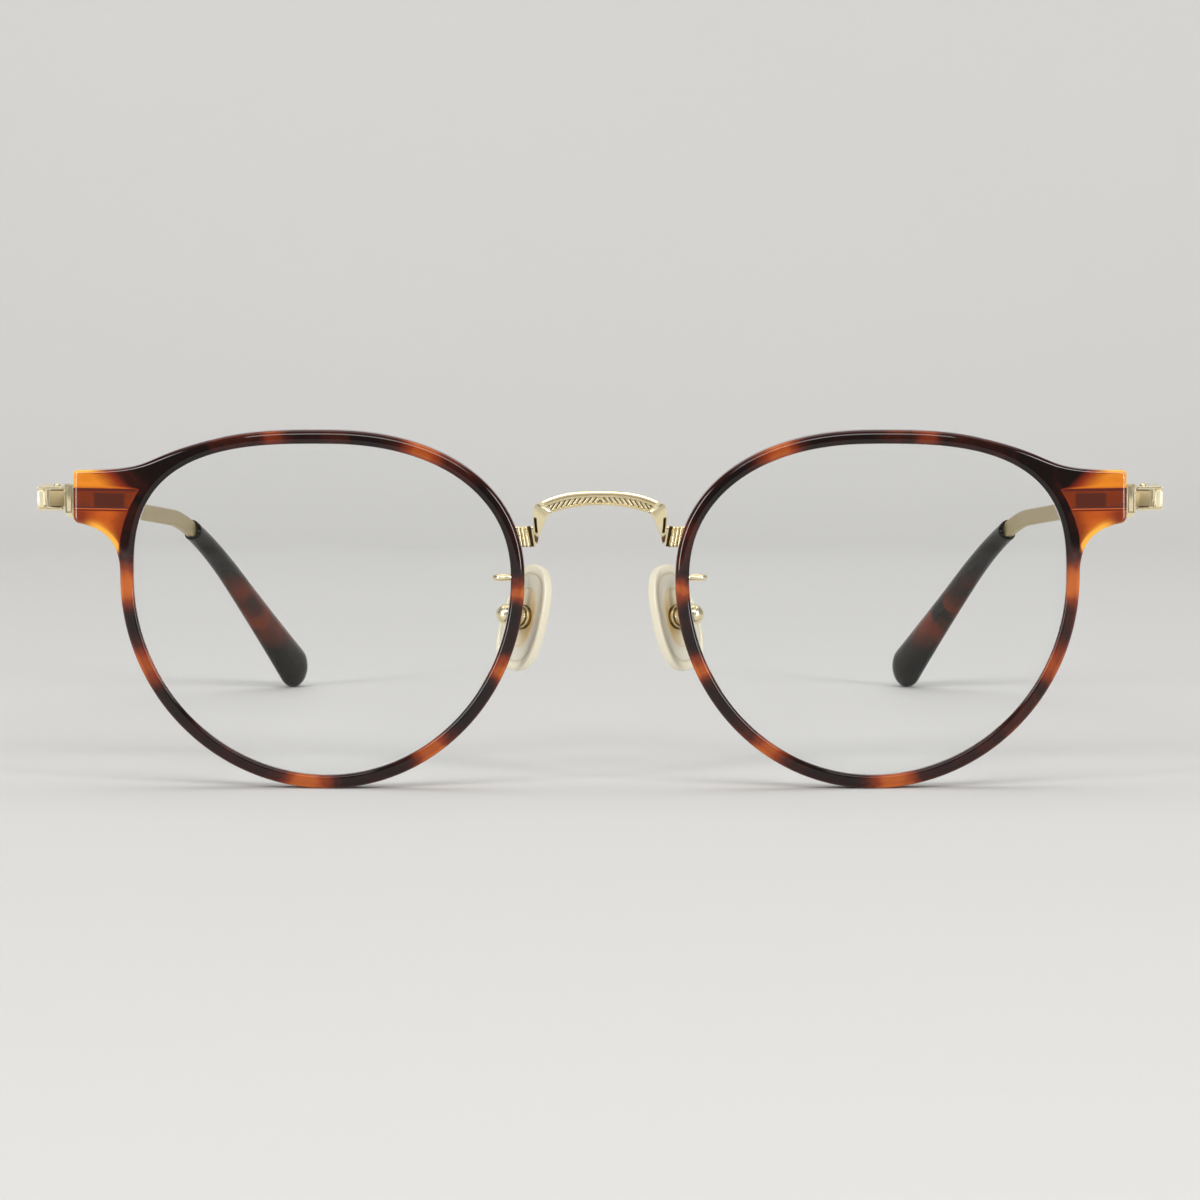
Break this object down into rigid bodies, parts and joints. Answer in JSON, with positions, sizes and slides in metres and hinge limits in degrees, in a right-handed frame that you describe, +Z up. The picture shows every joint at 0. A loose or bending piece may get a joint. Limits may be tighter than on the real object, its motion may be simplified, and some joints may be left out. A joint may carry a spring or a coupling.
{
  "type": "round eyeglasses",
  "caption": "Round panto eyeglasses: thin tortoiseshell rims with amber lugs, slim metal bridge, adjustable nose pads and folding metal temples with acetate tips.",
  "frame": {"origin": "middle of the open glasses, on the level that the rims and the temple tips stand on", "axes": "+Z up, the front faces -Y, the temples run to +Y, the wearer's left is +X"},
  "size_m": [0.1438, 0.144, 0.0458],
  "materials": {
    "tortoise_acetate": "polished tortoiseshell acetate, dark brown with red and amber patches",
    "clear_lens": "clear polished plastic lens",
    "pale_gold": "satin pale gold plate",
    "pad_silicone": "milky translucent, soft sheen",
    "washer_plastic": "plain",
    "tip_acetate": "polished dark tortoiseshell acetate"
  },
  "bodies": {
    "front": {"rim_right": "tortoise_acetate", "rim_left": "tortoise_acetate", "lens_right": "clear_lens", "lens_left": "clear_lens", "bridge": "pale_gold", "pad_arm_right": "pale_gold", "pad_arm_left": "pale_gold", "pad_pin_right": "pale_gold", "pad_pin_left": "pale_gold", "endpiece_core_right": "pale_gold", "endpiece_core_left": "pale_gold", "collar_right": "pale_gold", "collar_left": "pale_gold", "hinge_washers_right": "washer_plastic", "hinge_washers_left": "washer_plastic"},
    "temple_right": {"hinge_pin_right": "pale_gold", "temple_clevis_right": "pale_gold", "temple_bar_right": "pale_gold", "temple_tip_right": "tip_acetate"},
    "temple_left": {"hinge_pin_left": "pale_gold", "temple_clevis_left": "pale_gold", "temple_bar_left": "pale_gold", "temple_tip_left": "tip_acetate"},
    "pad_right": {"pad_core_right": "pale_gold", "nose_pad_right": "pad_silicone"},
    "pad_left": {"pad_core_left": "pale_gold", "nose_pad_left": "pad_silicone"}
  },
  "joints": [
    {"name": "temple_fold_left", "type": "hinge", "parent": "front", "child": "temple_left", "pos_m": [0.06965, -0.06121, 0.03673], "axis": [0, 0, 1], "range_deg": [0, 80]},
    {"name": "temple_fold_right", "type": "hinge", "parent": "front", "child": "temple_right", "pos_m": [-0.06965, -0.06121, 0.03673], "axis": [0, 0, -1], "range_deg": [0, 75]},
    {"name": "pad_rock_left", "type": "hinge", "parent": "front", "child": "pad_left", "pos_m": [0.01197, -0.06577, 0.02208], "axis": [-0.6846, -0.7086, -0.1707], "range_deg": [-8, 8]},
    {"name": "pad_rock_right", "type": "hinge", "parent": "front", "child": "pad_right", "pos_m": [-0.01197, -0.06577, 0.02208], "axis": [-0.6846, 0.7086, 0.1707], "range_deg": [-8, 8]}
  ]
}
